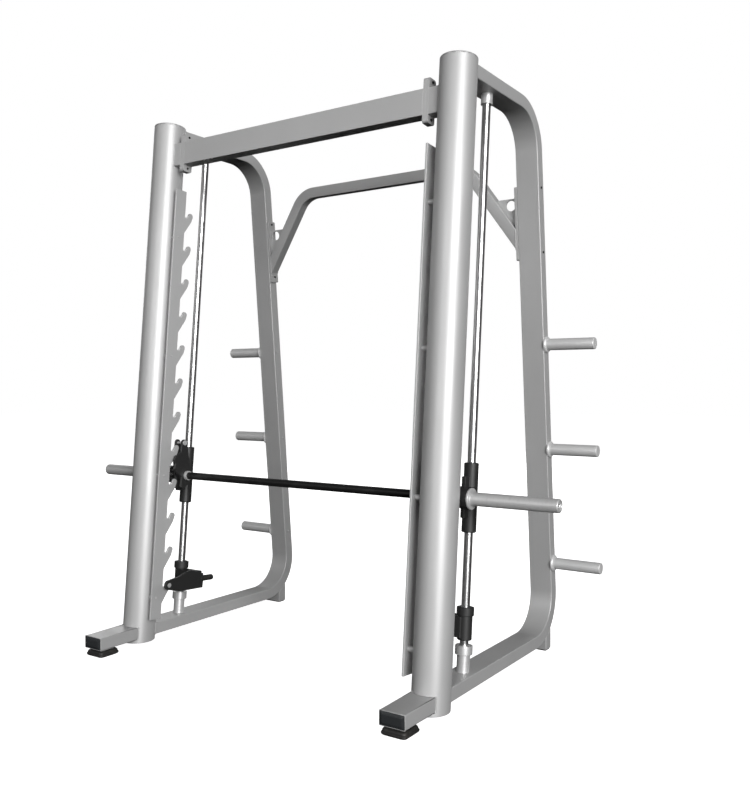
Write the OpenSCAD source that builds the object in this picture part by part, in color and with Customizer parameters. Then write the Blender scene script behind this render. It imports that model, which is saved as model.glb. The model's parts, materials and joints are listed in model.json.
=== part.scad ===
// Smith machine: two leaning posts with bent side frames, a barbell that runs
// on guide rods and hooks onto toothed racks, and two sliding safety stops.
// Millimetres. +X is the machine's right, +Y its back, +Z up. The origin is on
// the floor, at the middle of the footprint.

/* [Posts] */
// distance between the two posts' axes at every height
post_spacing = 1495; // [1485:1:1505]
// outside diameter of a post
post_d = 139.7; // [136:0.1:141]
// wall of a post
post_wall = 4; // [3:0.5:6]
// length of a post along its own axis, from the floor line to the cap
post_length = 2320; // [2316:1:2400]
// angle that the posts, rods and racks lean back
lean = 4.94; // [4.8:0.01:5.1]
// height of a post's lower end above the floor
post_clearance = 17; // [5:1:20]

/* [Side frames] */
// width of the rectangular frame tube, side to side
tube_w = 100; // [90:1:104]
// depth of the rectangular frame tube
tube_h = 51; // [48:1:52]
// wall of every rectangular tube
tube_wall = 3; // [2:0.5:4]
// height of a side frame's upper face
frame_top = 2305.5; // [2300:0.5:2308]
// height of a side frame's lower face
frame_bottom = 34.5; // [34:0.5:36]
// distance from a post's foot to the rear leg's back face, at floor level
leg_rear = 1030.5; // [1025:0.5:1040]
// angle that the rear legs lean forward
leg_lean = 5.1; // [5:0.1:5.3]
// outer bend radius of a side frame's two corners
bend_r = 200; // [190:1:205]
// distance from a post's foot to the front end of its foot tube
foot_reach = 247; // [240:1:260]

/* [Cross members] */
// height of the front crossbeam's section
beam_h = 100; // [95:1:104]
// depth of the front crossbeam's section
beam_d = 50; // [46:1:51]
// distance up the posts to the crossbeam's centre
beam_at = 2182.5; // [2178:0.5:2184]
// thickness of each of the two plates in a beam joint
flange_t = 12; // [10:1:13]
// side of the rear crossbar's square tube
crossbar_size = 50; // [48:1:51]
// distance up the rear legs to the crossbar's upper face
crossbar_top = 2122; // [2115:1:2130]
// half length of the crossbar's straight middle
crossbar_straight = 386; // [375:1:395]
// angle that the crossbar's ends bend down
crossbar_turn = 55; // [53:1:57]
// outer radius of the crossbar's bends
crossbar_bend_r = 155; // [145:1:165]

/* [Racks] */
// distance between the two racks' inner faces
rack_gap = 1287.2; // [1286:0.2:1288]
// thickness of a rack plate
rack_t = 8; // [6:0.5:8.5]
// distance between two neighbouring teeth
tooth_pitch = 150; // [149:0.5:151]
// number of teeth on a rack
tooth_count = 12; // [8:1:12]
// distance up the posts to the tip of the highest tooth
top_tooth = 1931; // [1929:1:1932]

/* [Guide rods and barbell] */
// diameter of a guide rod
rod_d = 32; // [30:0.5:33]
// distance from a post's axis to its guide rod's axis
rod_back = 230; // [228:0.5:232]
// diameter of the barbell
bar_d = 32; // [28:0.5:33]
// length of the barbell over its sleeves
bar_length = 2300; // [2290:2:2310]
// distance up the posts to the barbell's axis as stored
bar_at = 747.4; // [747:0.1:748]
// distance from a post's axis back to the barbell's axis
bar_back = 107.4; // [107:0.1:108]
// diameter of a weight sleeve, to take plates with a 50 mm hole
sleeve_d = 49; // [48:0.5:49.5]
// play around a shaft in its bush, measured on the radius
running_gap = 0.05; // [0.02:0.01:0.09]

/* [Stops and pegs] */
// distance up the posts to a stop's hook pin as stored
stop_at = 265.5; // [265:0.1:266]
// length of a plate storage peg from the rear leg's outer face
peg_length = 215; // [200:1:230]
// heights of the three plate storage pegs on each side
peg_heights = [367.5, 865.6, 1313.6];

/* [Hidden] */
$fn = 96;
big = 4000;                    // longer than the machine
post_x = post_spacing / 2;
frame_x = 746.3;               // middle of a side frame
frame_in = frame_x - tube_w / 2;
frame_out = frame_x + tube_w / 2;
foot_cap_t = 5;                // how far a cap stands out of its tube
foot_y = -192;                 // middle of a front foot
foot_widest = 100;
foot_widest_at = 8;
foot_sole = 84;
foot_top = 84;
foot_plate = 66;
foot_h = 26;
rear_foot_from = 898;
rear_foot_to = 949;
rear_foot_high = 110;
pad_t = 4;
pad_inset = 3;
corner_back = rear_y(frame_bottom) + bend_r * (1 - tan((90 + leg_lean) / 2));
mid_y = (corner_back - foot_reach) / 2;

beam_joint_x = 618;            // inner face of the plate on the crossbeam's end
beam_p = -1.5;                 // beam centre behind the posts' axes
ear_up = 40;
ear_down = 30;
ear_hole_up = 26;
ear_hole_down = 14.5;
beam_bolt_d = 6;
beam_bolts_at = [beam_at + beam_h / 2 + ear_hole_up, beam_at - beam_h / 2 - ear_hole_down];

leg_front = leg_rear - tube_h / cos(leg_lean);
plate_t = 12;                  // crossbar mounting plate
plate_x = frame_in - plate_t;
plate_low = 1678;
plate_high = 1986;
crossbar_bolts_at = [1706, 1973];
crossbar_bolt_d = 6;
gusset_t = 8;
gusset_high = 1942;
gusset_hole_r = 22;

rack_in = rack_gap / 2;
rack_out = rack_in + rack_t;
rack_front = -33.5;            // rack edges measured back from the posts' axes
rack_back = 27;
rack_low = 118.5;
rack_high = 2023;
tip_r = 13;
tip_p = 60;
seat_r = 7.5;
seat_drop = 17.5;
standoff_d = 20;
standoff_p = -5;
rack_screw_d = 6;
standoffs_at = [212, 745, 1278, 1811];

rod_x = 746.7;
rod_low = 115;
rod_high = 2270;
socket_d = 48.5;
socket_ring_d = 65;
socket_ring_low = 170;
socket_ring_high = 203;
collar_d = 45;
collar_low = 2240;

carriage_d = 55;
carriage_down = 130;
carriage_up = 126;
carriage_low = bar_at - carriage_down;
carriage_high = bar_at + carriage_up;
rod_bush_d = 40;
rod_bush_length = 60;
bar_bush_d = 50;
rib_w = 16;                    // tall rib on the front of a carriage's tube
rib_front = 172;
rib_half = 76;
arm_w = 50;                    // arm from the rib to the barbell's housing
housing_d = 73;
housing_in = 705;
housing_out = 810;

bar_end = bar_length / 2;
sleeve_in = 812;               // inner face of a sleeve's flange
sleeve_flange_d = 78;
sleeve_flange_t = 8;
sleeve_hub_d = 44;
bar_collar_d = 42;
bar_collar_t = 14;
sleeve_wall_end = 10;          // the bar ends this far inside the sleeve

hook_in = 618;
cheek_in_t = 10;
hook_far = 660;
cheek_out_t = 8;
hook_pin_p = -72.9;            // hook pin from the barbell's axis, when hooked
hook_pin_a = 128.8;
hook_pin_r = 5.5;
hook_boss_r = 15;
hook_hub_r = 25;
hook_turn = 19.5;              // from hooked to the stored, released angle

stop_in = 628;
stop_out = 640;
stop_pin_p = 33;
stop_pin_r = 5;
stop_nose_r = 21;
stop_swing = 3.2;              // from hooked to the stored, released angle
stop_tube_low = 224.1;
stop_tube_high = 341.7;
stop_ring_d = 65;
stop_ring_h = 30;
lip_t = 2;
lip_gap = 0.1;
lip_d = 50;
grip_d = 26;
grip_length = 66;
grip_core_d = 16;
grip_a = 8;                    // grip above the stop pin

peg_d = 49;
peg_wall = 3;
peg_flange_d = 70;
peg_flange_t = 10;
peg_cap_t = 6;

silver = [0.72, 0.73, 0.75];
chrome = [0.82, 0.83, 0.85];
black = [0.12, 0.12, 0.13];
rubber = [0.10, 0.10, 0.10];
bronze = [0.62, 0.48, 0.28];
bolt_black = [0.07, 0.07, 0.08];

// ---- placing ----

// the machine's own frame: posts' feet at y = 0
module machine() translate([0, -mid_y, 0]) children();

// y is measured back from the posts' axes and z along them
module leaning() machine() rotate([-lean, 0, 0]) children();

// y is measured into the rear legs from their front faces and z along them
module on_legs() machine() translate([0, leg_front, 0]) rotate([leg_lean, 0, 0]) children();

module left() mirror([1, 0, 0]) children();

module both_sides() {
    children();
    left() children();
}

// stands a flat outline up in the Y-Z plane, from x0 to x1
module side_plate(x0, x1)
    translate([x0, 0, 0]) rotate([90, 0, 90]) linear_extrude(x1 - x0) children();

// a round bar along X
module shaft(x0, x1, y, z, d)
    translate([x0, y, z]) rotate([0, 90, 0]) cylinder(d = d, h = x1 - x0);

module rounded_rect(low, high, r) {
    translate([low[0] + r, low[1]]) square([high[0] - low[0] - 2 * r, high[1] - low[1]]);
    translate([low[0], low[1] + r]) square([high[0] - low[0], high[1] - low[1] - 2 * r]);
    for (x = [low[0] + r, high[0] - r], y = [low[1] + r, high[1] - r])
        translate([x, y]) circle(r);
}

// a hexagon, across flats af, standing along X
module hex(x0, x1, y, z, af)
    translate([x0, y, z]) rotate([0, 90, 0])
        cylinder(d = af / cos(30), h = x1 - x0, $fn = 6);

// a low round screw head along X with a hexagon socket in its face
module socket_head(seat, face, y, z, d) {
    floor_x = (seat + face) / 2;
    past = 2 * face - floor_x;
    difference() {
        shaft(min(seat, face), max(seat, face), y, z, d);
        hex(min(floor_x, past), max(floor_x, past), y, z, d * 0.42);
    }
}

// ---- posts ----

module post_solid() translate([post_x, 0, -100]) cylinder(d = post_d, h = post_length + 200);

module post() color(silver) difference() {
    leaning() translate([post_x, 0, -20]) difference() {
        cylinder(d = post_d, h = post_length + 20);
        translate([0, 0, -1]) cylinder(d = post_d - 2 * post_wall, h = post_length + 22);
    }
    translate([-big / 2, -big / 2, post_clearance - big]) cube(big);
}

module left_post() left() post();
module right_post() post();

module post_caps() color(silver) leaning() both_sides()
    translate([post_x, 0, post_length]) rotate_extrude() {
        edge = 3;
        square([post_d / 2 - edge, 6]);
        square([post_d / 2, 6 - edge]);
        translate([post_d / 2 - edge, 6 - edge]) circle(edge);
    }

// ---- side frames ----

function rear_y(z) = leg_rear - z * tan(leg_lean);

// the frame's outline moved in by inset; its front edge follows the post,
// moved back by front
module frame_outline(inset, front) {
    r = bend_r - inset;
    top = frame_top - inset;
    bottom = frame_bottom + inset;
    back_top = rear_y(top) - inset / cos(leg_lean);
    back_bottom = rear_y(bottom) - inset / cos(leg_lean);
    run_top = r * tan((90 - leg_lean) / 2);
    run_bottom = r * tan((90 + leg_lean) / 2);
    polygon([
        [bottom * tan(lean) + front, bottom],
        [back_bottom - run_bottom, bottom],
        [back_bottom - run_bottom * sin(leg_lean), bottom + run_bottom * cos(leg_lean)],
        [back_top + run_top * sin(leg_lean), top - run_top * cos(leg_lean)],
        [back_top - run_top, top],
        [top * tan(lean) + front, top]
    ]);
    translate([back_top - run_top, top - r]) circle(r);
    translate([back_bottom - run_bottom, bottom + r]) circle(r);
}

module side_frame() color(silver) difference() {
    machine() difference() {
        side_plate(frame_in, frame_out) difference() {
            frame_outline(0, 0);
            frame_outline(tube_h, -post_d);
        }
        side_plate(frame_in + tube_wall, frame_out - tube_wall) difference() {
            frame_outline(tube_wall, -post_d);
            frame_outline(tube_h - tube_wall, -2 * post_d);
        }
    }
    leaning() post_solid();
}

module left_side_frame() left() side_frame();
module right_side_frame() side_frame();

module box_tube(low, high) difference() {
    translate(low) cube(high - low);
    children();
}

module foot_tube() color(silver) difference() {
    machine() difference() {
        translate([frame_in, -foot_reach + foot_cap_t, frame_bottom])
            cube([tube_w, foot_reach - foot_cap_t, tube_h]);
        translate([frame_in + tube_wall, -foot_reach, frame_bottom + tube_wall])
            cube([tube_w - 2 * tube_wall, foot_reach + 1, tube_h - 2 * tube_wall]);
    }
    leaning() post_solid();
}

module left_foot_tube() left() foot_tube();
module right_foot_tube() foot_tube();

// the outline of a cap's bevelled face, half wide, pointing out of the tube
module bevel_outline(half, bevel) polygon([
    [-half, 0], [half, 0], [half, foot_cap_t / 4],
    [half - bevel, foot_cap_t], [bevel - half, foot_cap_t], [-half, foot_cap_t / 4]
]);

// a plug in each foot tube's mouth and a bevelled cover that leaves the tube's rim bare
module foot_tube_caps() color(black) machine() both_sides() {
    bevel = 7;
    rim = 1.5;
    plug = 20;
    plug_w = tube_w - 2 * tube_wall;
    plug_h = tube_h - 2 * tube_wall;
    translate([frame_x, foot_cap_t - foot_reach, frame_bottom + tube_h / 2]) {
        intersection() {
            translate([0, 0, -tube_h]) mirror([0, 1, 0]) linear_extrude(2 * tube_h)
                bevel_outline(tube_w / 2 - rim, bevel);
            rotate([0, -90, 0]) translate([0, 0, -tube_w]) mirror([0, 1, 0])
                linear_extrude(2 * tube_w) bevel_outline(tube_h / 2 - rim, bevel);
        }
        translate([-plug_w / 2, 0, -plug_h / 2]) cube([plug_w, plug, plug_h]);
    }
}

// a rubber block that tapers in a little above and below its widest line
module front_foot() color(rubber) machine() translate([frame_x, foot_y, 0]) {
    linear_extrude(foot_widest_at, scale = foot_widest / foot_sole)
        square(foot_sole, center = true);
    translate([0, 0, foot_widest_at])
        linear_extrude(foot_h - foot_widest_at, scale = foot_top / foot_widest)
            square(foot_widest, center = true);
}

module left_front_foot() left() front_foot();
module right_front_foot() front_foot();

module front_foot_plates() color(silver) machine() both_sides()
    translate([frame_x - foot_plate / 2, foot_y - foot_plate / 2, foot_h])
        cube([foot_plate, foot_plate, frame_bottom - foot_h]);

// a short box under each rear bend, cut to the bend's curve
module rear_foot_stubs() color(silver) machine() both_sides() difference() {
    translate([frame_in, rear_foot_from, pad_t])
        cube([tube_w, rear_foot_to - rear_foot_from, rear_foot_high - pad_t]);
    side_plate(frame_in - 1, frame_out + 1) frame_outline(0, 0);
}

module rear_foot_pads() color(rubber) machine() both_sides() linear_extrude(pad_t)
    rounded_rect([frame_in + pad_inset, rear_foot_from + pad_inset],
        [frame_out - pad_inset, rear_foot_to - pad_inset], 6);

// ---- crossbeam and its joints ----

module beam_section(x0, x1) difference() {
    translate([x0, beam_p - beam_d / 2, beam_at - beam_h / 2])
        cube([x1 - x0, beam_d, beam_h]);
    translate([x0 - 1, beam_p - beam_d / 2 + tube_wall, beam_at - beam_h / 2 + tube_wall])
        cube([x1 - x0 + 2, beam_d - 2 * tube_wall, beam_h - 2 * tube_wall]);
}

module crossbeam() color(silver) leaning() beam_section(-beam_joint_x, beam_joint_x);

module beam_stub() color(silver) leaning() difference() {
    beam_section(beam_joint_x + 2 * flange_t, post_x);
    post_solid();
}

module left_beam_stub() left() beam_stub();
module right_beam_stub() beam_stub();

module beam_flange(x0) leaning() difference() {
    side_plate(x0, x0 + flange_t)
        rounded_rect([beam_p - beam_d / 2, beam_at - beam_h / 2 - ear_down],
            [beam_p + beam_d / 2, beam_at + beam_h / 2 + ear_up], 10);
    for (z = beam_bolts_at)
        shaft(x0 - 1, x0 + flange_t + 1, beam_p, z, beam_bolt_d);
}

module crossbeam_flanges() color(silver) both_sides() beam_flange(beam_joint_x);
module stub_flanges() color(silver) both_sides() beam_flange(beam_joint_x + flange_t);

// socket screws through both plates of a joint, with low heads and thin nuts
module beam_bolts() color(bolt_black) leaning() both_sides() for (z = beam_bolts_at) {
    far = beam_joint_x + 2 * flange_t;
    shaft(beam_joint_x, far, beam_p, z, beam_bolt_d);
    socket_head(beam_joint_x, beam_joint_x - 3, beam_p, z, 10);
    hex(far, far + 4, beam_p, z, 10);
}

// ---- rear crossbar ----

// stands a flat outline up in the legs' plane, from y0 to y1 behind their faces
module leg_plate(y0, y1) translate([0, y1, 0]) rotate([90, 0, 0]) linear_extrude(y1 - y0) children();

module crossbar_section() difference() {
    square(crossbar_size);
    translate([tube_wall, tube_wall]) square(crossbar_size - 2 * tube_wall);
}

// a straight length of the crossbar's tube
module crossbar_run(x0, x1)
    translate([x0, 0, 0]) rotate([90, 0, 90]) linear_extrude(x1 - x0) crossbar_section();

// a bend and the arm below it, around the bend's centre
module crossbar_arm() {
    inner_r = crossbar_bend_r - crossbar_size;
    rotate([0, crossbar_turn, 0]) translate([0, crossbar_size, 0]) rotate([90, 0, 0])
        rotate([0, 0, 90]) rotate_extrude(angle = crossbar_turn)
            translate([inner_r, 0]) crossbar_section();
    rotate([0, crossbar_turn, 0]) translate([0, 0, inner_r]) crossbar_run(0, 600);
}

module rear_crossbar() color(silver) on_legs() difference() {
    union() {
        translate([0, 0, crossbar_top - crossbar_size])
            crossbar_run(-crossbar_straight, crossbar_straight);
        both_sides() translate([crossbar_straight, 0, crossbar_top - crossbar_bend_r])
            crossbar_arm();
    }
    both_sides() translate([plate_x, -crossbar_size, 0]) cube(big);
}

module crossbar_plate() color(silver) on_legs() difference() {
    side_plate(plate_x, frame_in) rounded_rect([0, plate_low], [tube_h, plate_high], 6);
    for (z = crossbar_bolts_at)
        shaft(plate_x - 1, frame_in + 1, tube_h / 2, z, crossbar_bolt_d);
}

module left_crossbar_plate() left() crossbar_plate();
module right_crossbar_plate() crossbar_plate();

module crossbar_gussets() color(silver) on_legs() both_sides()
    leg_plate(crossbar_size / 2 - gusset_t / 2, crossbar_size / 2 + gusset_t / 2) {
        bend_x = crossbar_straight + crossbar_bend_r * sin(crossbar_turn);
        bend_z = crossbar_top - crossbar_bend_r * (1 - cos(crossbar_turn));
        low = bend_z - (plate_x - bend_x) * tan(crossbar_turn);
        from_x = bend_x + (bend_z - gusset_high) / tan(crossbar_turn);
        difference() {
            polygon([[from_x, gusset_high], [plate_x, low], [plate_x, gusset_high]]);
            translate([plate_x - gusset_hole_r - 5, gusset_high - gusset_hole_r - 7])
                circle(gusset_hole_r);
        }
    }

module crossbar_bolts() color(bolt_black) on_legs() both_sides() for (z = crossbar_bolts_at) {
    shaft(plate_x, frame_in, tube_h / 2, z, crossbar_bolt_d);
    hex(plate_x - 4, plate_x, tube_h / 2, z, 10);
    socket_head(frame_out, frame_out + 3, tube_h / 2, z, 10);
}

// ---- racks ----

// one tooth that points back and up, with its tip's top at the origin's height
module tooth() difference() {
    union() {
        polygon([
            [rack_back - 10, -111],
            [rack_back, -96],
            [66, -37],
            [tip_p + tip_r, -tip_r],
            [tip_p - tip_r, -tip_r],
            [rack_back + 2 * seat_r, -seat_drop],
            [rack_back - 10, -seat_drop]
        ]);
        translate([tip_p, -tip_r]) circle(tip_r);
    }
    translate([rack_back + seat_r, -seat_drop]) circle(seat_r);
}

module rack() color(silver) leaning() difference() {
    side_plate(rack_in, rack_out) {
        translate([rack_front, rack_low]) square([rack_back - rack_front, rack_high - rack_low]);
        for (i = [0 : tooth_count - 1])
            translate([0, top_tooth - i * tooth_pitch]) tooth();
    }
    for (z = standoffs_at)
        shaft(rack_in - 1, rack_out + 1, standoff_p, z, rack_screw_d);
}

module left_rack() left() rack();
module right_rack() rack();

module rack_standoffs() color(silver) leaning() both_sides() difference() {
    for (z = standoffs_at)
        shaft(rack_out, post_x - post_d / 4, standoff_p, z, standoff_d);
    for (z = standoffs_at)
        shaft(rack_out - 1, rack_out + 12, standoff_p, z, rack_screw_d);
    post_solid();
}

module rack_screws() color(silver) leaning() both_sides() for (z = standoffs_at) {
    shaft(rack_in, rack_out + 12, standoff_p, z, rack_screw_d);
    socket_head(rack_in, rack_in - 2.5, standoff_p, z, 10);
}

// ---- guide rods ----

module rod_piece(low, high, d) translate([rod_x, rod_back, low]) cylinder(d = d, h = high - low);

module guide_rod() color(chrome) leaning() rod_piece(rod_low, rod_high, rod_d);

module left_guide_rod() left() guide_rod();
module right_guide_rod() guide_rod();

module rod_collars() color(chrome) both_sides() difference() {
    leaning() rod_piece(collar_low, collar_low + 60, collar_d);
    leaning() rod_piece(collar_low - 1, rod_high, rod_d);
    translate([0, -big / 2, frame_top - tube_h]) cube(big);
}

module rod_socket() color(chrome) difference() {
    leaning() {
        rod_piece(socket_ring_low, socket_ring_high, socket_ring_d);
        rod_piece(rod_low - 30, socket_ring_low, socket_d);
    }
    leaning() rod_piece(rod_low, socket_ring_high + 1, rod_d);
    translate([0, -big / 2, frame_bottom + tube_h - big]) cube(big);
}

module left_rod_socket() left() rod_socket();
module right_rod_socket() rod_socket();

// ---- carriages ----

module carriage() color(black) leaning() difference() {
    union() {
        rod_piece(carriage_low, carriage_high, carriage_d);
        translate([rod_x - rib_w / 2, rib_front, bar_at - rib_half])
            cube([rib_w, rod_back - rib_front, 2 * rib_half]);
        translate([rod_x - arm_w / 2, bar_back, bar_at - housing_d / 2])
            cube([arm_w, rod_back - bar_back, housing_d]);
        shaft(housing_in, housing_out, bar_back, bar_at, housing_d);
    }
    rod_piece(carriage_low - 1, carriage_high + 1, rod_bush_d);
    shaft(housing_in - 1, housing_out + 1, bar_back, bar_at, bar_bush_d);
}

module left_carriage() left() carriage();
module right_carriage() carriage();

// two plain bushes in each carriage, one at each end
module carriage_bushes() color(bronze) leaning() both_sides()
    for (low = [carriage_low, carriage_high - rod_bush_length]) difference() {
        rod_piece(low, low + rod_bush_length, rod_bush_d);
        rod_piece(low - 1, low + rod_bush_length + 1, rod_d + 2 * running_gap);
    }

module bar_bushes() color(chrome) leaning() both_sides() difference() {
    shaft(housing_in, housing_out, bar_back, bar_at, bar_bush_d);
    shaft(housing_in - 1, housing_out + 1, bar_back, bar_at, bar_d + 2 * running_gap);
}

// ---- barbell ----

module bar_part(x0, x1, d) shaft(x0, x1, bar_back, bar_at, d);

module bar() color(black) leaning()
    bar_part(sleeve_wall_end - bar_end, bar_end - sleeve_wall_end, bar_d);

module sleeve() color(silver) leaning() difference() {
    chamfer = 3;
    union() {
        bar_part(housing_out + 1, sleeve_in, sleeve_hub_d);
        bar_part(sleeve_in, sleeve_in + sleeve_flange_t, sleeve_flange_d);
        bar_part(sleeve_in + sleeve_flange_t, bar_end - chamfer, sleeve_d);
        translate([bar_end - chamfer, bar_back, bar_at]) rotate([0, 90, 0])
            cylinder(d1 = sleeve_d, d2 = sleeve_d - 2 * chamfer, h = chamfer);
    }
    bar_part(housing_out, bar_end + 1, bar_d);
}

module left_sleeve() left() sleeve();
module right_sleeve() sleeve();

// a plug in each sleeve's end, set back from it, with a hexagon socket
module sleeve_end_caps() color(bolt_black) leaning() both_sides() difference() {
    face = bar_end - 3;
    bar_part(bar_end - sleeve_wall_end, face, bar_d);
    hex(face - 3, face + 1, bar_back, bar_at, 14);
}

module bar_collars() color(chrome) leaning() both_sides() difference() {
    bar_part(hook_in - bar_collar_t, hook_in, bar_collar_d);
    bar_part(hook_in - bar_collar_t - 1, hook_in + 1, bar_d);
}

// ---- hooks on the barbell ----

// turns a hook from its hooked angle back to the stored, released angle
module hook_placed() leaning() translate([0, bar_back, bar_at])
    rotate([-hook_turn, 0, 0]) children();

// an arm up to the pin, a round boss on the bar and a tail below it; the claw
// is a knuckle in front of the arm
module hook_cheek(claw) {
    translate([hook_pin_p, hook_pin_a]) circle(hook_boss_r);
    circle(30);
    polygon([
        [hook_pin_p - 14, hook_pin_a - 5],
        [hook_pin_p + 14, hook_pin_a + 5],
        [29, 8],
        [24, -34],
        [4, -64],
        [-13, -60],
        [-30, -12],
        [-60, 40]
    ]);
    if (claw)
        polygon([
            [-78, 84], [-82, 70], [-98, 57], [-100, 36], [-84, 27],
            [-82, 2], [-62, -9], [-24, -18], [0, 22], [-40, 84]
        ]);
}

module hook() color(black) hook_placed() difference() {
    union() {
        side_plate(hook_in, hook_in + cheek_in_t) hook_cheek(true);
        side_plate(hook_far, hook_far + cheek_out_t) hook_cheek(false);
        shaft(hook_in, hook_far + cheek_out_t, 0, 0, 2 * hook_hub_r);
    }
    shaft(hook_in - 1, hook_far + cheek_out_t + 1, 0, 0, bar_d);
    shaft(hook_in - 1, hook_far + cheek_out_t + 1, hook_pin_p, hook_pin_a, 2 * hook_pin_r);
}

module left_hook() left() hook();
module right_hook() hook();

module hook_pins() color(chrome) both_sides() hook_placed() {
    far = hook_far + cheek_out_t;
    shaft(hook_in - 4, hook_in, hook_pin_p, hook_pin_a, 22);
    shaft(hook_in, far, hook_pin_p, hook_pin_a, 2 * hook_pin_r);
    hex(far, far + 5, hook_pin_p, hook_pin_a, 17);
}

// ---- safety stops ----

// turns a stop about its rod from its hooked angle to the stored, released angle
module stop_placed() leaning() translate([rod_x, rod_back, 0])
    rotate([0, 0, -stop_swing]) translate([-rod_x, -rod_back, 0]) children();

// the flat body in side view: a round nose, a raised back and a square heel
module stop_outline() {
    heel = 252;
    translate([stop_pin_p, stop_at]) circle(stop_nose_r);
    polygon([
        [stop_pin_p, stop_at + stop_nose_r],
        [95, stop_at + 31],
        [150, stop_at + 50],
        [168, stop_at + 52],
        [heel, stop_at + 32],
        [heel, stop_at - 34],
        [105, stop_at - 35],
        [stop_pin_p - 3, stop_at - stop_nose_r + 0.5]
    ]);
}

module stop() color(black) stop_placed() difference() {
    web_from = 198;
    web_to = 252;
    union() {
        side_plate(stop_in, stop_out) stop_outline();
        translate([stop_out - 1, web_from, stop_at - 34])
            cube([rod_x - stop_out, web_to - web_from, 76]);
        rod_piece(stop_tube_low, stop_tube_high, carriage_d);
        rod_piece(stop_tube_high - stop_ring_h, stop_tube_high, stop_ring_d);
        translate([(stop_in + stop_out) / 2, web_to - 12, stop_at + grip_a]) rotate([-90, 0, 0])
            cylinder(d = grip_core_d, h = grip_length + 4);
    }
    rod_piece(stop_tube_low - 1, stop_tube_high + 1, rod_bush_d + 2 * running_gap);
    shaft(stop_in - 1, stop_out + 1, stop_pin_p, stop_at, 2 * stop_pin_r);
}

module left_stop() left() stop();
module right_stop() stop();

module stop_pin() color(chrome) stop_placed() {
    shaft(stop_in, rack_out + 1, stop_pin_p, stop_at, 2 * stop_pin_r);
    shaft(stop_in - 3, stop_in, stop_pin_p, stop_at, 20);
}

module left_stop_pin() left() stop_pin();
module right_stop_pin() stop_pin();

// a round-ended grip over the stop's handle
module stop_grip() color(rubber) stop_placed()
    translate([(stop_in + stop_out) / 2, 252.5, stop_at + grip_a]) rotate([-90, 0, 0])
        rotate_extrude() difference() {
            nose = 8;
            union() {
                square([grip_d / 2, grip_length - nose]);
                square([grip_d / 2 - nose, grip_length]);
                translate([grip_d / 2 - nose, grip_length - nose]) circle(nose);
            }
            translate([-grip_d, -1]) square([grip_d, grip_length + 2]);
            square([grip_core_d / 2, grip_length - 8.5]);
        }

module left_stop_grip() left() stop_grip();
module right_stop_grip() stop_grip();

// a lipped bush at each end of a stop's tube; the stop turns on them
module stop_bushes() color(black) leaning() {
    mid = (stop_tube_low + stop_tube_high) / 2;
    bush = 40;
    for (s = [0, 1]) translate([0, 0, mid]) mirror([0, 0, s]) translate([0, 0, -mid]) difference() {
        union() {
            rod_piece(stop_tube_low - lip_gap - lip_t, stop_tube_low + bush, rod_bush_d);
            rod_piece(stop_tube_low - lip_gap - lip_t, stop_tube_low - lip_gap, lip_d);
        }
        rod_piece(stop_tube_low - 5, stop_tube_low + bush + 1, rod_d + 2 * running_gap);
    }
}

module left_stop_bushes() left() stop_bushes();
module right_stop_bushes() stop_bushes();

// ---- plate storage pegs ----

function leg_mid_y(z) = leg_rear - tube_h / 2 / cos(leg_lean) - z * tan(leg_lean);

module peg_row() machine() for (z = peg_heights) translate([0, leg_mid_y(z), z]) children();

module pegs() color(silver) peg_row() difference() {
    shaft(frame_out + peg_flange_t, frame_out + peg_length - peg_cap_t, 0, 0, peg_d);
    shaft(frame_out, frame_out + peg_length, 0, 0, peg_d - 2 * peg_wall);
}

module left_pegs() left() pegs();
module right_pegs() pegs();

module peg_flanges() color(silver) both_sides() peg_row() {
    shoulder = 4;
    shaft(frame_out, frame_out + peg_flange_t - shoulder, 0, 0, peg_flange_d);
    translate([frame_out + peg_flange_t - shoulder, 0, 0]) rotate([0, 90, 0])
        cylinder(d1 = peg_flange_d, d2 = peg_flange_d - 2 * shoulder, h = shoulder);
}

module peg_caps() color(silver) both_sides() peg_row() {
    end = frame_out + peg_length;
    shaft(end - peg_cap_t - 10, end - peg_cap_t, 0, 0, peg_d - 2 * peg_wall);
    shaft(end - peg_cap_t, end - 2, 0, 0, peg_d);
    translate([end - 2, 0, 0]) rotate([0, 90, 0]) cylinder(d1 = peg_d, d2 = peg_d - 4, h = 2);
}

module peg_bolts() color(silver) both_sides() peg_row()
    socket_head(frame_in, frame_in - 3, 0, 0, 10);

// ---- nodes ----

// which piece to draw, or all of them

left_post();
right_post();
post_caps();
left_side_frame();
right_side_frame();
left_foot_tube();
right_foot_tube();
foot_tube_caps();
left_front_foot();
right_front_foot();
front_foot_plates();
rear_foot_stubs();
rear_foot_pads();
crossbeam();
left_beam_stub();
right_beam_stub();
crossbeam_flanges();
stub_flanges();
beam_bolts();
rear_crossbar();
left_crossbar_plate();
right_crossbar_plate();
crossbar_gussets();
crossbar_bolts();
left_rack();
right_rack();
rack_standoffs();
rack_screws();
left_guide_rod();
right_guide_rod();
rod_collars();
left_rod_socket();
right_rod_socket();
left_carriage();
right_carriage();
carriage_bushes();
bar_bushes();
bar();
left_sleeve();
right_sleeve();
sleeve_end_caps();
bar_collars();
left_hook();
right_hook();
hook_pins();
left_stop();
right_stop();
left_stop_pin();
right_stop_pin();
left_stop_grip();
right_stop_grip();
left_stop_bushes();
right_stop_bushes();
left_pegs();
right_pegs();
peg_flanges();
peg_caps();
peg_bolts();
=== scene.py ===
"""Looks for the smith machine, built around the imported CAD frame.

Metres, in the CAD frame: +X is the machine's right, +Y its back, +Z up.
"""

import json
import math

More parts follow.
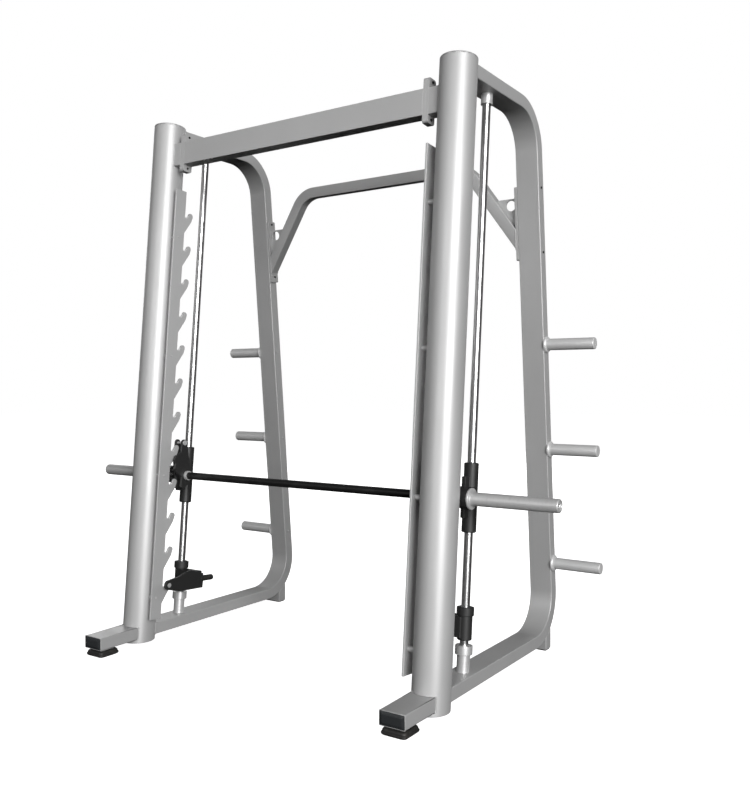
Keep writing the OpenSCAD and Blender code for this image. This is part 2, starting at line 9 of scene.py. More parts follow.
import bmesh
import bpy
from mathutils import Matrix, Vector


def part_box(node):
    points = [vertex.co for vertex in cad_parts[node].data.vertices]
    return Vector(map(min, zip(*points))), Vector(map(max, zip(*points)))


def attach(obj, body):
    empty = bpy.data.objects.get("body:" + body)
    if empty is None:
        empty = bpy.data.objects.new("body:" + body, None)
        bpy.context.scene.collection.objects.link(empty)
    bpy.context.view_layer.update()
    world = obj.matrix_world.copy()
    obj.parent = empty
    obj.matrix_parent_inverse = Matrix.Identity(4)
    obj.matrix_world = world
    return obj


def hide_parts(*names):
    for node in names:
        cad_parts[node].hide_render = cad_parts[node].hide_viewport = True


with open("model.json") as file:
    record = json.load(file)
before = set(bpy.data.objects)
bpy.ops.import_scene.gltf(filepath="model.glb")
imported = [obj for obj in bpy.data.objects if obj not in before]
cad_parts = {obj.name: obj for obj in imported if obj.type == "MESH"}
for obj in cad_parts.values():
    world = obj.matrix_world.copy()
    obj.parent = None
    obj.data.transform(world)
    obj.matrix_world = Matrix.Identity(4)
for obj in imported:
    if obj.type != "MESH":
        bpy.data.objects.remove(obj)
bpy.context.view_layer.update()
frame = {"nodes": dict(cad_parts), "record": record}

# ---- sizes that the pieces share, in metres and radians ----

LEAN = math.radians(4.94)            # posts, rods and racks
LEG_LEAN = math.radians(5.1)         # rear legs
POST_X = 0.7475
POST_R = 0.13970 / 2
TUBE_W = 0.100
TUBE_H = 0.051
FRAME_X = 0.7463
FRAME_TOP = 2.3055
FRAME_BOTTOM = 0.0345
FRONT_FOOT_BACK = -0.192             # front feet's middles; negative is in front of the posts
LEG_FRONT = 0.979297                 # rear legs' front faces behind the posts' feet
BEAM_AT = 2.1825                     # crossbeam's centre, along the posts
BEAM_BACK = -0.0015                  # its centre behind the posts' axes
BEAM_H = 0.100
BEAM_D = 0.050
BEAM_CORNER = 0.004
CORNER = 0.0035                      # outside corner radius of rectangular tube
CROSSBAR = 0.050                     # side of the rear crossbar's square tube
CROSSBAR_TOP = 2.122                 # along the rear legs
CROSSBAR_STRAIGHT = 0.386            # half of its level stretch
CROSSBAR_TURN = math.radians(55)
CROSSBAR_BEND = 0.155 - CROSSBAR / 2  # radius of its middle line
CROSSBAR_END = 0.6843                # where it meets its mounting plates
ROD_X = 0.7467
ROD_BACK = 0.230
ROD_R = 0.016
ROD_LOW = 0.115
CARRIAGE_ENDS = (0.6174, 0.8734)     # along the posts
TOOTH_PITCH = 0.150
SEAT_AT = 1.9135                     # one of a rack's seats, along the posts
SEAT_BACK = 0.0345                   # the seats behind the posts' axes
FOOT_REACH = 0.247                   # foot tubes' front ends with their caps, in front of the posts
CAP_OUT = 0.005                      # the caps' faces in front of the tubes' mouths

# the posts' feet in the frame, found from the lowest front point of a guide rod
FOOT_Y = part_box("left_guide_rod")[0].y - (
    ROD_LOW * math.sin(LEAN) + (ROD_BACK - ROD_R) * math.cos(LEAN)
)


def leaning(x, p, a):
    """A point p behind the posts' axes and a along them."""
    return Vector((
        x,
        FOOT_Y + a * math.sin(LEAN) + p * math.cos(LEAN),
        a * math.cos(LEAN) - p * math.sin(LEAN),
    ))


def on_legs(x, depth, along):
    """A point depth into the rear legs from their front faces and along them."""
    return Vector((
        x,
        FOOT_Y + LEG_FRONT + depth * math.cos(LEG_LEAN) - along * math.sin(LEG_LEAN),
        depth * math.sin(LEG_LEAN) + along * math.cos(LEG_LEAN),
    ))


# ---- node helpers ----

NOISE_ROUGHNESS = 0.55
EDGE_DOT = (0.995, 0.86)             # rounded against true normal: on flat ground, on an edge
EDGE_SAMPLES = 4


class Paint:
    """A node material being put together."""

    def __init__(self, name, **sockets):
        self.material = bpy.data.materials.new(name)
        self.material.use_nodes = True
        self.tree = self.material.node_tree
        self.bsdf = self.tree.nodes["Principled BSDF"]
        for socket, value in sockets.items():
            self.bsdf.inputs[socket.replace("_", " ")].default_value = value
        coordinates = self.tree.nodes.new("ShaderNodeTexCoord")
        self.place = coordinates.outputs["Object"]

    def node(self, kind, inputs=None, **settings):
        made = self.tree.nodes.new("ShaderNode" + kind)
        for key, value in settings.items():
            setattr(made, key, value)
        for socket, value in (inputs or {}).items():
            if isinstance(value, bpy.types.NodeSocket):
                self.tree.links.new(value, made.inputs[socket])
            else:
                made.inputs[socket].default_value = value
        return made

    def stretched(self, scale, turn=(0.0, 0.0, 0.0)):
        """Object coordinates, turned and then scaled along each axis."""
        turned = self.node("Mapping", {"Vector": self.place, "Rotation": turn})
        scaled = self.node("Mapping", {"Vector": turned.outputs[0], "Scale": scale})
        return scaled.outputs[0]

    def noise(self, scale, detail=3.0, vector=None):
        made = self.node("TexNoise", {
            "Vector": vector or self.place,
            "Scale": scale,
            "Detail": detail,
            "Roughness": NOISE_ROUGHNESS,
        })
        return made.outputs["Fac"]

    def remap(self, value, low, high, to_low=0.0, to_high=1.0):
        made = self.node("MapRange", {
            "Value": value,
            "From Min": low,
            "From Max": high,
            "To Min": to_low,
            "To Max": to_high,
        })
        return made.outputs["Result"]

    def math(self, operation, a, b):
        made = self.node("Math", {0: a, 1: b}, operation=operation)
        return made.outputs[0]

    def mix(self, factor, a, b):
        made = self.node("Mix", data_type="RGBA")
        for socket, value in ((0, factor), (6, a), (7, b)):
            if isinstance(value, bpy.types.NodeSocket):
                self.tree.links.new(value, made.inputs[socket])
            else:
                made.inputs[socket].default_value = value
        return made.outputs[2]

    def edges(self, radius):
        """1 close to a convex edge or a corner, 0 on flat ground."""
        soft = self.node("Bevel", {"Radius": radius}, samples=EDGE_SAMPLES)
        sharp = self.node("NewGeometry")
        dot = self.node("VectorMath", operation="DOT_PRODUCT")
        self.tree.links.new(soft.outputs[0], dot.inputs[0])
        self.tree.links.new(sharp.outputs["Normal"], dot.inputs[1])
        return self.remap(dot.outputs["Value"], *EDGE_DOT)

    def leaning_place(self):
        """How far behind the posts' axes a point is, and how far along them."""
        turned = self.node("Mapping", {
            "Vector": self.place,
            "Location": (0.0, -FOOT_Y * math.cos(LEAN), -FOOT_Y * math.sin(LEAN)),
            "Rotation": (LEAN, 0.0, 0.0),
        })
        parts = self.node("SeparateXYZ", {0: turned.outputs[0]})
        return parts.outputs[1], parts.outputs[2]

    def wire(self, socket, value):
        self.tree.links.new(value, self.bsdf.inputs[socket])

    def bump(self, height, distance, strength, under=None):
        inputs = {"Height": height, "Distance": distance, "Strength": strength}
        if under is not None:
            inputs["Normal"] = under
        return self.node("Bump", inputs).outputs[0]


def grey(value, warmth=0.0):
    return (value * (1 + warmth), value, value * (1 - warmth), 1.0)


# ---- materials ----

# Noise scales are in cycles per metre, and bump depths in metres.
MOST_NOISE = (0.3, 0.7)              # where most of a noise texture's values lie
RUB_REACH = (0.0095, 0.0125)         # bare within the first of a seat's centre, whole past the second
RUB_RAGGED = (-0.002, 0.003)
RUBBED_TONE = 0.62
# reach of the lighter edge patches: worn paint and partly a painted edge highlight
EDGE_WEAR_AND_HIGHLIGHT_RADIUS = 0.0014
PEEL_DEPTH = 0.0002


def rubbed_seats(paint):
    """1 in the rack's seats, where the hook pins rub the paint away."""
    back, along = paint.leaning_place()
    off_seat = paint.math("PINGPONG", paint.math("SUBTRACT", along, SEAT_AT), TOOTH_PITCH / 2)
    off_back = paint.math("SUBTRACT", back, SEAT_BACK)
    squared = paint.math(
        "ADD", paint.math("MULTIPLY", off_seat, off_seat), paint.math("MULTIPLY", off_back, off_back)
    )
    ragged = paint.remap(paint.noise(160.0, 4.0), *MOST_NOISE, *RUB_RAGGED)
    reach = paint.math("ADD", paint.math("SQRT", squared, 0.0), ragged)
    return paint.remap(reach, *RUB_REACH, 1.0, 0.0)


def powder_coat(name, tone, edge_wear_and_highlight_tone, metallic, rough, peel, rub=None):
    """Baked powder paint: orange peel, slow drifts in tone and edges lighter in patches, partly worn paint
    and partly a painted edge highlight.
    """
    paint = Paint(name, Metallic=metallic)
    clouds = paint.remap(paint.noise(2.3, 2.0), *MOST_NOISE, 0.0, 0.7)
    specks = paint.remap(paint.noise(520.0, 2.0), *MOST_NOISE, 0.0, 0.3)
    body = paint.mix(paint.math("ADD", clouds, specks), grey(tone * 0.94), grey(tone * 1.05))
    patches = paint.remap(paint.noise(38.0, 4.0), 0.56, 0.70)
    # lighter patches along convex edges: worn paint and partly a painted edge highlight
    edge_wear_and_highlight = paint.math("MULTIPLY", paint.math("MULTIPLY", paint.edges(EDGE_WEAR_AND_HIGHLIGHT_RADIUS), patches), 0.5)
    colour = paint.mix(edge_wear_and_highlight, body, grey(edge_wear_and_highlight_tone))
    if rub:
        colour = paint.mix(rub(paint), colour, grey(RUBBED_TONE))
    paint.wire("Base Color", colour)
    smears = paint.noise(9.0, 3.0, paint.stretched((1.0, 1.0, 0.35)))
    paint.wire("Roughness", paint.remap(smears, *MOST_NOISE, rough - 0.05, rough + 0.06))
    paint.wire("Normal", paint.bump(paint.noise(420.0, 2.0), PEEL_DEPTH, peel))
    return paint.material


def turned_steel(name, tone, rough, metallic, along=(500.0, 3.0, 3.0)):
    """Turned and plated steel: fine rings round its length and light scuffs."""
    steel = Paint(name, Metallic=metallic)
    rings = steel.noise(1.0, 2.0, steel.stretched(along))
    scuffs = steel.remap(steel.noise(60.0, 5.0), 0.55, 0.75)
    base = steel.mix(rings, grey(tone * 0.92), grey(tone * 1.06))
    steel.wire("Base Color", steel.mix(steel.math("MULTIPLY", scuffs, 0.3), base, grey(tone * 0.7)))
    spread = steel.remap(rings, *MOST_NOISE, rough - 0.04, rough + 0.05)
    steel.wire("Roughness", steel.math("ADD", spread, steel.math("MULTIPLY", scuffs, 0.06)))
    steel.wire("Normal", steel.bump(rings, 0.00005, 0.25))
    return steel.material


def chrome_plate(name):
    """Hard chrome with faint rubbed streaks along the rods."""
    chrome = Paint(name, Metallic=1.0)
    streaks = chrome.noise(1.0, 3.0, chrome.stretched((320.0, 320.0, 5.0), (LEAN, 0.0, 0.0)))
    chrome.wire("Base Color", chrome.mix(streaks, grey(0.60), grey(0.66)))
    chrome.wire("Roughness", chrome.remap(streaks, 0.3, 0.75, 0.27, 0.31))
    return chrome.material


def black_oxide(name, rings=(900.0, 4.0, 4.0)):
    """Blackened steel with fine turning marks and lightly rubbed patches."""
    steel = Paint(name, Metallic=0.6)
    turned = steel.noise(1.0, 2.0, steel.stretched(rings))
    rubbed = steel.remap(steel.noise(14.0, 4.0), 0.5, 0.75)
    steel.wire("Base Color", steel.mix(rubbed, grey(0.016), grey(0.030)))
    steel.wire("Roughness", steel.remap(turned, *MOST_NOISE, 0.34, 0.46))
    steel.wire("Normal", steel.bump(turned, 0.00006, 0.35))
    return steel.material


def moulded_rubber(name):
    """Matte moulded rubber with lighter, warmer patches in its grain: a little dust and partly a painted
    sheen.
    """
    rubber = Paint(name, Specular_IOR_Level=0.35)
    grain = rubber.noise(700.0, 3.0)
    dust_and_sheen = rubber.remap(rubber.noise(45.0, 5.0), 0.5, 0.8)
    # the lighter, warmer patches are dust and partly a painted sheen
    rubber.wire("Base Color", rubber.mix(dust_and_sheen, grey(0.014, 0.05), grey(0.032, 0.08)))
    rubber.wire("Roughness", rubber.remap(grain, *MOST_NOISE, 0.48, 0.66))
    rubber.wire("Normal", rubber.bump(grain, 0.0002, 0.3))
    return rubber.material


def moulded_plastic(name):
    """Black moulded plastic with a fine spark-eroded grain."""
    plastic = Paint(name, Coat_Weight=0.15)
    grain = plastic.noise(900.0, 2.0)
    drift = plastic.noise(20.0, 3.0)
    plastic.wire("Base Color", plastic.mix(drift, grey(0.020, -0.07), grey(0.030, -0.07)))
    plastic.wire("Roughness", plastic.remap(grain, *MOST_NOISE, 0.24, 0.34))
    plastic.wire("Normal", plastic.bump(grain, 0.0001, 0.25))
    return plastic.material


def bearing_bronze(name):
    """Plain bronze with turning marks."""
    bronze = Paint(name, Metallic=1.0)
    rings = bronze.noise(1.0, 2.0, bronze.stretched((6.0, 6.0, 500.0), (LEAN, 0.0, 0.0)))
    bronze.wire("Base Color", bronze.mix(rings, (0.42, 0.28, 0.12, 1.0), (0.60, 0.43, 0.20, 1.0)))
    bronze.wire("Roughness", bronze.remap(rings, *MOST_NOISE, 0.30, 0.42))
    return bronze.material


# the lighter edge tone stands for worn paint and partly a painted edge highlight
SILVER = dict(tone=0.41, edge_wear_and_highlight_tone=0.53, metallic=0.35, rough=0.46, peel=0.22)

MATERIALS = {
    "silver_paint": powder_coat("silver_powder_coat", **SILVER),
    # its lighter edge tone: worn paint and partly a painted edge highlight
    "black_paint": powder_coat(
        "black_powder_coat", tone=0.013, edge_wear_and_highlight_tone=0.08, metallic=0.0, rough=0.54, peel=0.35
    ),
    "sleeve_steel": turned_steel("plated_sleeve_steel", tone=0.50, rough=0.45, metallic=0.5),
    "chrome": chrome_plate("hard_chrome"),
    "black_bar": black_oxide("black_oxide_steel"),
    "black_plastic": moulded_plastic("black_moulded_plastic"),
    "rubber": moulded_rubber("black_rubber"),
    "bolt_steel": black_oxide("black_oxide_screws", (150.0, 150.0, 150.0)),
    "bronze": bearing_bronze("bearing_bronze"),
}
SATIN_PLATE = turned_steel(
    "satin_plated_steel", tone=0.66, rough=0.38, metallic=0.6, along=(3.0, 3.0, 400.0)
)
PEG_PAINT = powder_coat("peg_powder_coat", **{**SILVER, "tone": 0.58, "peel": 0.12})
RACK_PAINT = powder_coat("rubbed_rack_paint", **{**SILVER, "tone": 0.44}, rub=rubbed_seats)


def assign(obj, slot_name):
    obj.data.materials.clear()
    obj.data.materials.append(MATERIALS[slot_name])


# ---- the CAD nodes: softened edges and their materials ----

DEFAULT_EDGE = 0.0006                 # bevel width in metres
SOFT_EDGES = {                        # the same, for nodes whose names end so
    "side_frame": CORNER, "foot_tube": CORNER, "crossbeam": 0.0015, "beam_stub": 0.0015,
    "rear_foot_stubs": 0.003, "post_caps": 0.0, "post": 0.001, "rack": 0.0012, "gussets": 0.0012,
    "flanges": 0.0004, "carriage": 0.0015, "hook": 0.0015, "stop": 0.0015,
    "sleeve": 0.002, "socket": 0.0015,
}
BEVEL_SEGMENTS = 3
BEVEL_FROM = math.radians(40)
WELD_DISTANCE = 0.00002
FLAT_FACE_WEIGHT = 80


def bevel_width(node):
    for ending, width in SOFT_EDGES.items():
        if node.endswith(ending):
            return width
    return DEFAULT_EDGE


def soften(obj, width):
    """Joins split vertices, rounds the sharp edges and keeps flat faces flat."""
    obj.data.shade_smooth()
    weld = obj.modifiers.new("weld", "WELD")
    weld.merge_threshold = WELD_DISTANCE
    if width:
        bevel = obj.modifiers.new("round", "BEVEL")
        bevel.width = width
        bevel.segments = BEVEL_SEGMENTS
        bevel.limit_method = "ANGLE"
        bevel.angle_limit = BEVEL_FROM
        bevel.use_clamp_overlap = False
        bevel.loop_slide = False
        bevel.harden_normals = True
    normals = obj.modifiers.new("flat", "WEIGHTED_NORMAL")
    normals.keep_sharp = True
    normals.weight = FLAT_FACE_WEIGHT


def dress_cad_nodes():
    slots = {part["node"]: part["material_slot"] for part in frame["record"]["subparts"]}
    for name, obj in frame["nodes"].items():
        assign(obj, slots[name])
        soften(obj, bevel_width(name))
    finer = {
        RACK_PAINT: ("left_rack", "right_rack"),
        PEG_PAINT: ("left_pegs", "right_pegs", "peg_caps", "peg_flanges"),
        SATIN_PLATE: (
            "rod_collars", "left_rod_socket", "right_rod_socket", "bar_collars", "hook_pins",
            "sleeve_end_caps",
        ),
    }
    for material, nodes in finer.items():
        for node in nodes:
            frame["nodes"][node].data.materials[0] = material


dress_cad_nodes()

# ---- mesh helpers ----

SMOOTH_UNDER = math.radians(35)
CORNER_STEPS = 6
WELD_PITCH = 0.0045                   # length of one ripple of a weld
RIPPLE_STEPS = 4
BEAD_SIDES = 8


def shell(name, rings, closed=False, capped=False):
    """A mesh through rings of points, closed back to the first ring or capped."""
    count = len(rings[0])
    points = [point for ring in rings for point in ring]
    faces = []
    for i in range(len(rings) if closed else len(rings) - 1):
        near, far = i * count, (i + 1) % len(rings) * count
        for j in range(count):
            k = (j + 1) % count
            faces.append((near + j, near + k, far + k, far + j))
    if capped:
        faces.append(tuple(reversed(range(count))))
        faces.append(tuple(range(len(points) - count, len(points))))
    mesh = bpy.data.meshes.new(name)
    mesh.from_pydata(points, [], faces)
    return tidied(mesh)


def tidied(mesh):
    """Turns faces outwards and shades them smooth between shallow angles."""
    work = bmesh.new()
    work.from_mesh(mesh)
    bmesh.ops.remove_doubles(work, verts=work.verts, dist=1e-6)
    bmesh.ops.recalc_face_normals(work, faces=work.faces)
    work.to_mesh(mesh)
    work.free()
    mesh.shade_smooth()
    mesh.set_sharp_from_angle(angle=SMOOTH_UNDER)
    return mesh


def joined(name, meshes):
    """One mesh from several."""
    work = bmesh.new()
    for mesh in meshes:
        work.from_mesh(mesh)
        bpy.data.meshes.remove(mesh)
    made = bpy.data.meshes.new(name)
    work.to_mesh(made)
    work.free()
    return tidied(made)


def add_piece(name, mesh, body, slot_name, replaced=()):
    """A new piece on a body, standing for the CAD nodes that it replaces."""
    obj = bpy.data.objects.new(name, mesh)
    bpy.context.scene.collection.objects.link(obj)
    assign(obj, slot_name)
    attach(obj, body)
    if replaced:
        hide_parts(*replaced)


def rounded_loop(half_u, half_v, corner):
    """Points round a rectangle with rounded corners, centred on the origin."""
    points = []
    for quarter, (su, sv) in enumerate(((1, 1), (-1, 1), (-1, -1), (1, -1))):
        for i in range(CORNER_STEPS + 1):
            angle = math.pi / 2 * (quarter + i / CORNER_STEPS)
            points.append((
                su * (half_u - corner) + corner * math.cos(angle),
                sv * (half_v - corner) + corner * math.sin(angle),
            ))
    return points


def spaced(points, step):
    """A closed run of points again, at nearly equal steps."""
    made = []
    for i, start in enumerate(points):
        end = points[(i + 1) % len(points)]
        count = max(1, round((end - start).length / step))
        made.extend(start.lerp(end, j / count) for j in range(count))
    return made


def weld_bead(points, radius):
    """A closed rippled bead of weld along a run of points."""
    points = spaced(points, WELD_PITCH / RIPPLE_STEPS)
    middle = sum(points, Vector()) / len(points)
    axis = (points[0] - middle).cross(points[len(points) // 4] - middle).normalized()
    rings = []
    for i, point in enumerate(points):
        along = (points[(i + 1) % len(points)] - points[i - 1]).normalized()
        out = axis.cross(along).normalized()
        up = along.cross(out)
        size = radius * (1 + 0.14 * math.sin(math.tau * i / RIPPLE_STEPS) + 0.10 * math.sin(i * 0.37))
        rings.append([
            point + size * (math.cos(turn) * out + math.sin(turn) * up)
            for turn in (math.tau * k / BEAD_SIDES for k in range(BEAD_SIDES))
        ])
    return shell("bead", rings, closed=True)


# ---- pieces ----

BEND_STEPS = 16
PAST_PLATES = 0.4                     # length below its bends, before it is cut off
POST_BEAD = 0.0026
CROSSBAR_BEAD = 0.0022
FOOT_CORNER = 0.012                   # corner radius of a foot where its half width is FOOT_NECK
FOOT_NECK = 0.031
FOOT_CORNER_GROWTH = 0.1
BEAD_OFF_PLATE = 0.0005               # the crossbar's weld beads' middles from its plates
SEAL_STEPS = 48


def crossbar_line():
    """The rear crossbar's middle line, as distances across and along the legs."""
    low, bend_at = CROSSBAR_TOP - CROSSBAR / 2 - CROSSBAR_BEND, CROSSBAR_STRAIGHT
    half = [(0.0, low + CROSSBAR_BEND)]
    for i in range(BEND_STEPS + 1):
        angle = CROSSBAR_TURN * i / BEND_STEPS
        half.append((
            bend_at + CROSSBAR_BEND * math.sin(angle), low + CROSSBAR_BEND * math.cos(angle)
        ))
    half.append((
        half[-1][0] + PAST_PLATES * math.cos(CROSSBAR_TURN),
        half[-1][1] - PAST_PLATES * math.sin(CROSSBAR_TURN),
    ))
    return [(-x, z) for x, z in reversed(half[1:])] + half


def rear_crossbar():
    """The bent square tube, cut off flat against its two mounting plates."""
    line = crossbar_line()
    rings = []
    for i, (x, z) in enumerate(line):
        before, after = line[max(i - 1, 0)], line[min(i + 1, len(line) - 1)]
        along = Vector((after[0] - before[0], after[1] - before[1])).normalized()
        rings.append([
            on_legs(x - v * along.y, CROSSBAR / 2 + u, z + v * along.x)
            for u, v in rounded_loop(CROSSBAR / 2, CROSSBAR / 2, CORNER)
        ])
    mesh = shell("rear_crossbar_tube", rings, capped=True)
    work = bmesh.new()
    work.from_mesh(mesh)
    for side in (-1, 1):
        cut = bmesh.ops.bisect_plane(
            work, geom=work.verts[:] + work.edges[:] + work.faces[:],
            plane_co=(side * CROSSBAR_END, 0, 0), plane_no=(side, 0, 0), clear_outer=True,
        )
        edges = [edge for edge in cut["geom_cut"] if isinstance(edge, bmesh.types.BMEdge)]
        bmesh.ops.edgeloop_fill(work, edges=edges)
    work.to_mesh(mesh)
    work.free()
    add_piece("rear_crossbar_tube", tidied(mesh), "frame", "silver_paint", ["rear_crossbar"])


def on_post(x, height, facing):
    """The point of a post's front (-1) or back (1) at that x and height."""
    off_axis = abs(x) - POST_X
    back = facing * math.sqrt(POST_R ** 2 - off_axis ** 2)
    return leaning(x, back, (height + back * math.sin(LEAN)) / math.cos(LEAN))


def weld_beads():
    """The beads where tubes meet the posts and the crossbar meets its plates."""
    made = []
    tube = rounded_loop(TUBE_W / 2, TUBE_H / 2, CORNER)
    rails = (
        (FRAME_TOP - TUBE_H / 2, 1), (FRAME_BOTTOM + TUBE_H / 2, 1), (FRAME_BOTTOM + TUBE_H / 2, -1)
    )
    for side in (-1, 1):
        for height, facing in rails:
            run = [on_post(side * (FRAME_X + u), height + v, facing) for u, v in tube]
            made.append(weld_bead(run, POST_BEAD))
        run = []
        for u, v in rounded_loop(BEAM_D / 2, BEAM_H / 2, BEAM_CORNER):
            reach = math.sqrt(POST_R ** 2 - (BEAM_BACK + u) ** 2)
            run.append(leaning(side * (POST_X - reach), BEAM_BACK + u, BEAM_AT + v))
        made.append(weld_bead(run, POST_BEAD))
        made.append(weld_bead(crossbar_end_run(side), CROSSBAR_BEAD))
    add_piece("weld_beads", joined("weld_beads", made), "frame", "silver_paint")


def crossbar_end_run(side):
    """Points round the crossbar where it meets a mounting plate."""
    bend_end = crossbar_line()[-2]
    drop = (CROSSBAR_END - bend_end[0]) * math.tan(CROSSBAR_TURN)
    middle = bend_end[1] - drop
    tall = CROSSBAR / 2 / math.cos(CROSSBAR_TURN)
    return [
        on_legs(side * (CROSSBAR_END - BEAD_OFF_PLATE), CROSSBAR / 2 + u, middle + v)
        for u, v in rounded_loop(CROSSBAR / 2, tall, CORNER)
    ]


CAP_PROFILE = (                       # how far out of the tube, and how far in from its sides
    (0.0, 0.0016), (0.0004, 0.0015), (0.0008, 0.0018), (0.0011, 0.0024), (0.0046, 0.0108),
    (0.0049, 0.0118), (0.0050, 0.0128), (0.0050, 0.0145),
)
CAP_PLUG = ((-0.02, 0.004), (0.0, 0.004))  # the same, for the plug inside the tube
CAP_CORNER = 0.004


def foot_tube_caps():
    """Moulded caps: a rounded edge, a wide bevel and a flat face."""
    made = []
    mouth = FOOT_Y - FOOT_REACH + CAP_OUT
    for side in (-1, 1):
        rings = []
        for out, inset in CAP_PLUG + CAP_PROFILE:
            half_u, half_v = TUBE_W / 2 - inset, TUBE_H / 2 - inset
            rings.append([
                Vector((side * FRAME_X + u, mouth - out, FRAME_BOTTOM + TUBE_H / 2 + v))
                for u, v in rounded_loop(half_u, half_v, CAP_CORNER)
            ])
        made.append(shell("cap", rings, capped=True))
    caps = joined("foot_caps", made)
    add_piece("moulded_foot_caps", caps, "frame", "black_plastic", ["foot_tube_caps"])


FOOT_PROFILE = (                      # height and half width of a front foot
    (0.0, 0.0405), (0.0010, 0.0424), (0.0030, 0.0464), (0.0055, 0.0490), (0.0080, 0.0499),
    (0.0112, 0.0499), (0.0126, 0.0492), (0.0134, 0.0476), (0.0142, 0.0470), (0.0154, 0.0472),
    (0.0180, 0.0468), (0.0205, 0.0460), (0.0225, 0.0449), (0.0242, 0.0432), (0.0254, 0.0412),
    (0.0260, 0.0390),
)


def front_feet():
    """Moulded rubber feet: a rounded block that swells above its sole."""
    for side, name in ((-1, "left"), (1, "right")):
        rings = [
            [
                Vector((side * FRAME_X + u, FOOT_Y + FRONT_FOOT_BACK + v, height))
                for u, v in rounded_loop(half, half, FOOT_CORNER + FOOT_CORNER_GROWTH * (half - FOOT_NECK))
            ]
            for height, half in FOOT_PROFILE
        ]
        node = name + "_front_foot"
        add_piece(name + "_rubber_foot", shell(node, rings, capped=True), "frame", "rubber", [node])


def ring_on_rod(side, along, facing):
    """A bearing seal: a low ring round a guide rod with a rounded lip."""
    profile = (                       # radius and height above the carriage's end
        (0.0163, -0.001), (0.0163, 0.0006), (0.0172, 0.0013), (0.0186, 0.0010),
        (0.0196, 0.0016), (0.0228, 0.0016), (0.0236, 0.0006), (0.0236, -0.001),
    )
    rings = []
    for radius, up in profile:
        rings.append([
            leaning(
                side * ROD_X + radius * math.cos(turn),
                ROD_BACK + radius * math.sin(turn),
                along + facing * up,
            )
            for turn in (math.tau * k / SEAL_STEPS for k in range(SEAL_STEPS))
        ])
    return shell("seal", rings, closed=True)


def carriage_seals():
    """A seal round each guide rod at both ends of each carriage."""
    made = []
    for side in (-1, 1):
        for along, facing in zip(CARRIAGE_ENDS, (-1, 1)):
            made.append(ring_on_rod(side, along, facing))
    add_piece("carriage_seals", joined("carriage_seals", made), "carriages", "black_plastic")


rear_crossbar()
weld_beads()
foot_tube_caps()
front_feet()
carriage_seals()

# ---- studio ----

FLOOR_HALF = 30.0
WORLD_CURVE = (0.34, 0.46, 0.62)      # heights from 0 below to 1 above: end of low, level, level
CAMERA_PLACE = (2.2458, -2.9429, 1.1381)
CAMERA_TURN = 0.5936
CAMERA_PITCH = 0.0164                 # downwards
CAMERA_LENS = 38.79                   # millimetres, on a 36 mm sensor
SENSOR_WIDTH = 36.0


def studio_floor():
    """A pale, partly self-lit floor that bounced and mirrored rays don't see."""
    mesh = bpy.data.meshes.new("floor")
    corners = [(u * FLOOR_HALF, v * FLOOR_HALF, 0) for u, v in ((-1, -1), (1, -1), (1, 1), (-1, 1))]
    mesh.from_pydata(corners, [], [(0, 1, 2, 3)])
    floor = bpy.data.objects.new("floor", mesh)
    bpy.context.scene.collection.objects.link(floor)
    pale = Paint("pale_floor", Roughness=0.9, Specular_IOR_Level=0.1, Emission_Strength=0.95)
    pale.bsdf.inputs["Base Color"].default_value = grey(0.6)
    pale.bsdf.inputs["Emission Color"].default_value = grey(1.0)
    mesh.materials.append(pale.material)
    floor.visible_diffuse = False
    floor.visible_glossy = False


def softbox(name, place, target, size, power, mirrored=True):
    """A rectangular lamp aimed at a target, with its power in watts; mirrored rays may miss it."""
    light = bpy.data.lights.new(name, "AREA")
    light.shape = "RECTANGLE"
    light.size, light.size_y = size
    light.energy = power
    lamp = bpy.data.objects.new(name, light)
    lamp.location = place
    lamp.rotation_euler = (Vector(target) - Vector(place)).to_track_quat("-Z", "Y").to_euler()
    lamp.visible_glossy = mirrored
    bpy.context.scene.collection.objects.link(lamp)


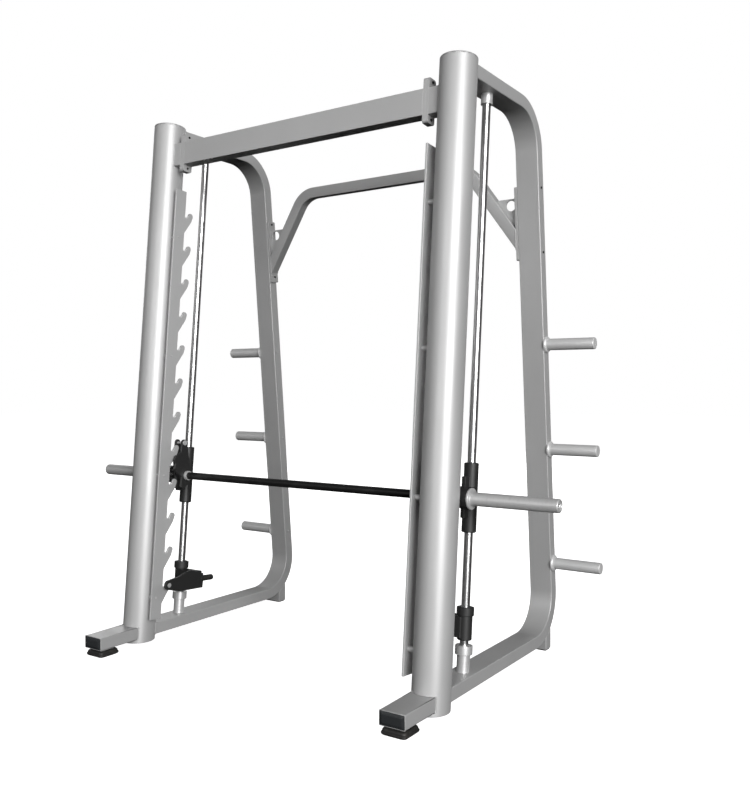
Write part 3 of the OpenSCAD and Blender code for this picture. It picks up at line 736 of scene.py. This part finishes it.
def studio_world(low, level, high):
    """White to the camera; to the machine, dim from above and the sides and darkest from below."""
    world = bpy.data.worlds.new("studio")
    world.use_nodes = True
    tree = world.node_tree
    background = tree.nodes["Background"]
    background.inputs["Color"].default_value = (1.0, 1.0, 1.0, 1.0)
    place = tree.nodes.new("ShaderNodeTexCoord")
    parts = tree.nodes.new("ShaderNodeSeparateXYZ")
    tree.links.new(place.outputs["Generated"], parts.inputs[0])
    curve = tree.nodes.new("ShaderNodeFloatCurve")
    up = tree.nodes.new("ShaderNodeMapRange")
    up.inputs["From Min"].default_value = -1.0
    tree.links.new(parts.outputs["Z"], up.inputs["Value"])
    tree.links.new(up.outputs["Result"], curve.inputs["Value"])
    points = curve.mapping.curves[0].points
    points[0].location = (0.0, low)
    points[1].location = (1.0, high)
    for height, strength in zip(WORLD_CURVE, (low, level, level)):
        points.new(height, strength)
    path = tree.nodes.new("ShaderNodeLightPath")
    seen = tree.nodes.new("ShaderNodeMix")
    tree.links.new(path.outputs["Is Camera Ray"], seen.inputs[0])
    tree.links.new(curve.outputs["Value"], seen.inputs[2])
    seen.inputs[3].default_value = 1.0
    tree.links.new(seen.outputs[0], background.inputs["Strength"])
    bpy.context.scene.world = world


def photo_camera():
    """The camera stands to the machine's front right, at about half its height."""
    ahead = Vector((
        -math.sin(CAMERA_TURN) * math.cos(CAMERA_PITCH),
        math.cos(CAMERA_TURN) * math.cos(CAMERA_PITCH),
        -math.sin(CAMERA_PITCH),
    ))
    data = bpy.data.cameras.new("camera")
    data.lens = CAMERA_LENS
    data.sensor_width = SENSOR_WIDTH
    data.clip_end = 100.0
    camera = bpy.data.objects.new("camera", data)
    camera.location = CAMERA_PLACE
    camera.rotation_euler = ahead.to_track_quat("-Z", "Y").to_euler()
    bpy.context.scene.collection.objects.link(camera)
    bpy.context.scene.camera = camera


studio_floor()
studio_world(low=0.0, level=0.07, high=0.10)
softbox("key", (10.5, -7.6, 4.0), (0, 0, 1.0), (6.0, 6.5), 2350)
softbox("front", (0.6, -9.0, 3.2), (0, 0, 1.0), (5.0, 3.5), 230)
softbox("glint", (-5.8, -7.4, 4.2), (0, 0, 0.6), (2.6, 2.6), 35)
softbox("back", (0.8, 10.0, 3.4), (0, 0, 1.1), (6.0, 3.0), 900, mirrored=False)
softbox("far_side", (-8.3, 3.8, 3.2), (0, 0, 1.1), (5.0, 3.0), 130)
photo_camera()
bpy.context.scene.view_settings.view_transform = "Standard"
